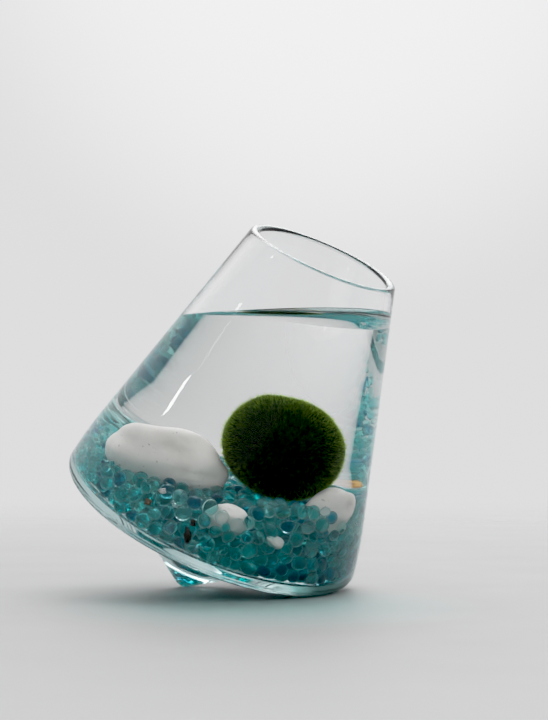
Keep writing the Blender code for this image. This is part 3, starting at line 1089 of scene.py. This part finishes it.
class MossBall(bpy.types.Operator):
    """The moss ball: a dark core with a pelt of fine filaments, and longer ones between them"""

    bl_idname = "marimo.moss_ball"
    bl_label = "Moss ball"

    def execute(self, context):
        moss = context.scene.marimo.moss
        random = np.random.default_rng(PELT_SEED)
        noise.seed_set(PELT_SEED)
        core_radius = moss.radius - PELT_DEPTH * moss.filament
        cage, triangles = ball_cage(MARIMO_CUTS)
        points = cage * self.lumps(cage)[:, None] * core_radius
        core = mesh_of_copies("marimo_core", points[None], triangles)
        core.transform(Matrix.Translation(MARIMO_CENTRE))
        share(add_object("marimo_core", core, self.core_material(moss)), "marimo_ball")
        for pelt, count in zip(PELTS, (moss.filaments, moss.long_filaments)):
            rarity = random.uniform(0.0, 1.0, count)[:, None] ** pelt.tail
            out = moss.filament * pelt.longest * (SHORTEST + (1.0 - SHORTEST) * rarity)
            mesh = self.filaments(pelt, core_radius, out, random)
            self.mark_height(mesh, out / moss.filament)
            share(add_object(pelt.name, mesh, self.pelt_material(pelt, moss)), "marimo_ball")
        return {"FINISHED"}

    @staticmethod
    def lumps(ways):
        """The ball's slow unevenness in each direction, and the small tuft at its top."""
        swell = uneven(ways, MARIMO_RELIEF, LUMPS, MARIMO_OFFSET)
        for place, size, width in MARIMO_SWELLINGS:
            swell += size * np.exp(-((ways - np.array(place)) ** 2).sum(1) / width**2)
        return swell

    def filaments(self, pelt, core_radius, out, random):
        """Blades with two points at the root, two at a joint and a tip, which lean with their neighbours."""
        count = len(out)
        ways = spread_on_ball(count, random)
        root = ways * (self.lumps(ways) * core_radius)[:, None]
        lean = np.array([noise.noise_vector(Vector(way) * LEAN_WAVE) for way in ways]) * LEAN_TOGETHER
        lean += random.normal(scale=LEAN_ALONE, size=ways.shape)
        lean -= ways * (lean * ways).sum(1)[:, None]
        joint = root + (ways + JOINT_LEAN * lean) * out * BLADE_JOINT
        tip = root + (ways + TIP_LEAN * lean) * out
        side = np.cross(ways, random.normal(size=ways.shape))
        side *= pelt.width / 2 / np.linalg.norm(side, axis=1)[:, None]
        foot = BLADE_ROOT_WIDTH * side
        points = np.stack([root - foot, root + foot, joint - side, joint + side, tip], 1)
        mesh = mesh_of_copies(pelt.name, points, np.array([[0, 1, 3], [0, 3, 2], [2, 3, 4]]))
        tone = mesh.attributes.new("tone", "FLOAT", "POINT")
        tone.data.foreach_set("value", np.repeat(random.uniform(0, 1, count), 5).astype(np.float32))
        mesh.transform(Matrix.Translation(MARIMO_CENTRE))
        return mesh

    @staticmethod
    def mark_height(mesh, heights):
        """Gives each point of each filament its height above the core, as a part of the greatest."""
        height = mesh.attributes.new("height", "FLOAT", "POINT")
        along = np.array([[0, 0, BLADE_JOINT, BLADE_JOINT, 1.0]])
        height.data.foreach_set("value", (heights * along).astype(np.float32).ravel())

    @staticmethod
    def core_material(moss):
        material = bpy.data.materials.new("Moss core")
        nodes = Nodes(material)
        patch = nodes.spread(nodes.noise(1.5 * MM), 0.0, 0.4, 0.3, 0.7)
        nodes.set(Base_Color=nodes.blend(patch, moss.root, moss.tip), Roughness=0.9, IOR=1.1)
        return material

    @staticmethod
    def pelt_material(pelt, moss):
        """Filaments that darken towards their roots, with a painted rim light at their tips where the ball
        turns edge on.
        """
        material = bpy.data.materials.new(pelt.name)
        nodes = Nodes(material)
        height = nodes.attribute("height")
        aged = nodes.blend(nodes.spread(nodes.noise(5 * MM), 0.0, 1.0, 0.4, 0.7), moss.tip, moss.old)
        varied = nodes.blend(nodes.attribute("tone"), aged, moss.fresh)
        body = nodes.blend(nodes.spread(height, 0.0, 1.0, 0.0, 0.4), moss.root, varied)
        # Painted rim light: brighter where the ball as a whole is seen edge on.
        outwards = nodes.vector("NORMALIZE", nodes.vector("SUBTRACT", nodes.place(), MARIMO_CENTRE))
        painted_rim_light = nodes.spread(nodes.facing_away(Normal=outwards), 0.10, 1.0, 0.25, 0.90)
        bright = nodes.combine("MULTIPLY", nodes.spread(height, 0.0, 1.0, *pelt.bright), painted_rim_light)
        nodes.set(Base_Color=nodes.blend(bright, body, moss.outer), Roughness=0.65, IOR=1.05)
        # The light through the filaments gets the same painted rim light.
        translucency_with_rim_light = nodes.blend(bright, moss.deep, moss.through)
        nodes.show(nodes.add("ShaderNodeBsdfTranslucent", Color=translucency_with_rim_light), pelt.thinness)
        return material


class Stage(bpy.types.Operator):
    """The stage: a pale table, soft light from behind and above, and the camera"""

    bl_idname = "marimo.stage"
    bl_label = "Stage"

    def execute(self, context):
        scene = context.scene
        settings = scene.marimo.stage
        self.add_camera(scene)
        self.add_floor(settings)
        self.add_world(scene, settings)
        self.add_window(scene, settings)
        scene.view_settings.view_transform = "Standard"
        scene.view_settings.use_curve_mapping = True
        self.set_tones(scene.view_settings.curve_mapping, settings.black)
        scene.cycles.max_bounces = 40
        scene.cycles.transmission_bounces = 40
        scene.cycles.glossy_bounces = 12
        scene.cycles.diffuse_bounces = 4
        scene.cycles.transparent_max_bounces = 16
        scene.cycles.blur_glossy = 0.5
        return {"FINISHED"}

    @staticmethod
    def set_tones(mapping, black):
        """The tone curve of a small camera: firm shadows, and highlights that roll off."""
        mapping.black_level = [black] * 3
        mapping.white_level = [WHITE] * 3
        points = mapping.curves[3].points
        points[0].location = (0.0, 0.0)
        points[1].location = (1.0, 1.0)
        for bright, shown in TONES:
            points.new((bright - black) / (WHITE - black), shown)
        mapping.update()

    @staticmethod
    def add_camera(scene):
        data = bpy.data.cameras.new("camera")
        data.lens = CAMERA_LENS
        data.sensor_width = SENSOR_WIDTH
        camera = bpy.data.objects.new("camera", data)
        camera.location = CAMERA_PLACE
        camera.rotation_euler = (math.pi / 2 + CAMERA_RISE, 0.0, CAMERA_AZIMUTH)
        scene.collection.objects.link(camera)
        scene.camera = camera

    @staticmethod
    def add_floor(settings):
        shape = bmesh.new()
        bmesh.ops.create_circle(shape, cap_ends=True, segments=96, radius=TABLE_RADIUS)
        mesh = mesh_from(shape, "table")
        material = bpy.data.materials.new("Pale table")
        nodes = Nodes(material)
        place = nodes.place()
        # A painted patch of teal light on the table near the foot.
        pool = nodes.spread(nodes.vector("DISTANCE", place, PAINTED_POOL_MIDDLE), 1.0, 0.0, *PAINTED_POOL_FADE)
        nodes.set(
            Base_Color=nodes.blend(pool, settings.floor, settings.pool),
            Roughness=nodes.spread(nodes.noise(60 * MM, detail=2.0), 0.50, 0.58, 0.3, 0.7),
            Specular_IOR_Level=0.3,
        )
        fade = nodes.spread(nodes.vector("LENGTH", place), 0.0, 1.0, *TABLE_FADE, interpolation="SMOOTHSTEP")
        nodes.show(nodes.add("ShaderNodeBsdfTransparent"), fade)
        floor = add_object("table", mesh, material)
        floor.location.z = -TABLE_DROP

    @staticmethod
    def add_world(scene, settings):
        """Light that depends on its direction: a bright backdrop and ceiling, and a darker room in front."""
        world = bpy.data.worlds.new("soft studio")
        scene.world = world
        nodes = Nodes(world)
        way = nodes.add("ShaderNodeTexCoord").outputs["Generated"]
        backwards = Vector((-math.sin(CAMERA_AZIMUTH), math.cos(CAMERA_AZIMUTH), 0.0))

        def towards(direction, fade, low, high):
            """Goes from low to high as the way looked turns towards this direction."""
            near = nodes.vector("DOT_PRODUCT", way, direction)
            return nodes.spread(near, low, high, *fade, interpolation="SMOOTHSTEP")

        total = towards(backwards, BACKDROP_FADE, settings.front, settings.backdrop)
        for part in (
            towards(UP, OVERHEAD_FADE, 0.0, settings.overhead - settings.backdrop),
            towards(GLOW_DIRECTION, GLOW_FADE, 0.0, settings.glow),
            towards(KEY_DIRECTION, KEY_FADE, 0.0, settings.key),
        ):
            total = nodes.combine("ADD", total, part)
        nodes.set(Color=rgba(SKY_COLOUR), Strength=total)

    @staticmethod
    def add_window(scene, settings):
        """A narrow light on the left whose mirror image is the streak on the wall."""
        data = bpy.data.lights.new("window", "AREA")
        data.shape = "SQUARE"
        data.size = WINDOW_SIDE
        data.energy = settings.window
        light = bpy.data.objects.new("window", data)
        light.location = WINDOW_TARGET + WINDOW_DIRECTION * WINDOW_DISTANCE
        light.rotation_mode = "QUATERNION"
        light.rotation_quaternion = (-WINDOW_DIRECTION).to_track_quat("-Z", "Y")
        scene.collection.objects.link(light)


class MarimoPanel(bpy.types.Panel):
    """Lists what can be built and its settings"""

    bl_idname = "VIEW3D_PT_marimo"
    bl_label = "Marimo"
    bl_space_type = "VIEW_3D"
    bl_region_type = "UI"
    bl_category = "Marimo"

    def draw(self, context):
        settings = context.scene.marimo
        for operator, group in BUILD_ORDER:
            box = self.layout.box()
            box.operator(operator.bl_idname)
            for name in getattr(settings, group).bl_rna.properties.keys():
                if name not in ("rna_type", "name"):
                    box.prop(getattr(settings, group), name)


BUILD_ORDER = (
    (Stage, "stage"),
    (BowlGlass, "glass"),
    (BowlWater, "water"),
    (GravelBed, "gravel"),
    (Pebbles, "pebbles"),
    (MossBall, "moss"),
)
SETTINGS = (
    GlassSettings,
    WaterSettings,
    GravelSettings,
    PebbleSettings,
    MossSettings,
    StageSettings,
    MarimoSettings,
)


def register():
    for cls in (*SETTINGS, *(operator for operator, _ in BUILD_ORDER), MarimoPanel):
        bpy.utils.register_class(cls)
    bpy.types.Scene.marimo = PointerProperty(type=MarimoSettings)


def unregister():
    del bpy.types.Scene.marimo
    for cls in (MarimoPanel, *(operator for operator, _ in reversed(BUILD_ORDER)), *reversed(SETTINGS)):
        bpy.utils.unregister_class(cls)


def main():
    register()
    for operator, _ in BUILD_ORDER:
        group, name = operator.bl_idname.split(".")
        getattr(getattr(bpy.ops, group), name)()


if __name__ == "__main__":
    main()
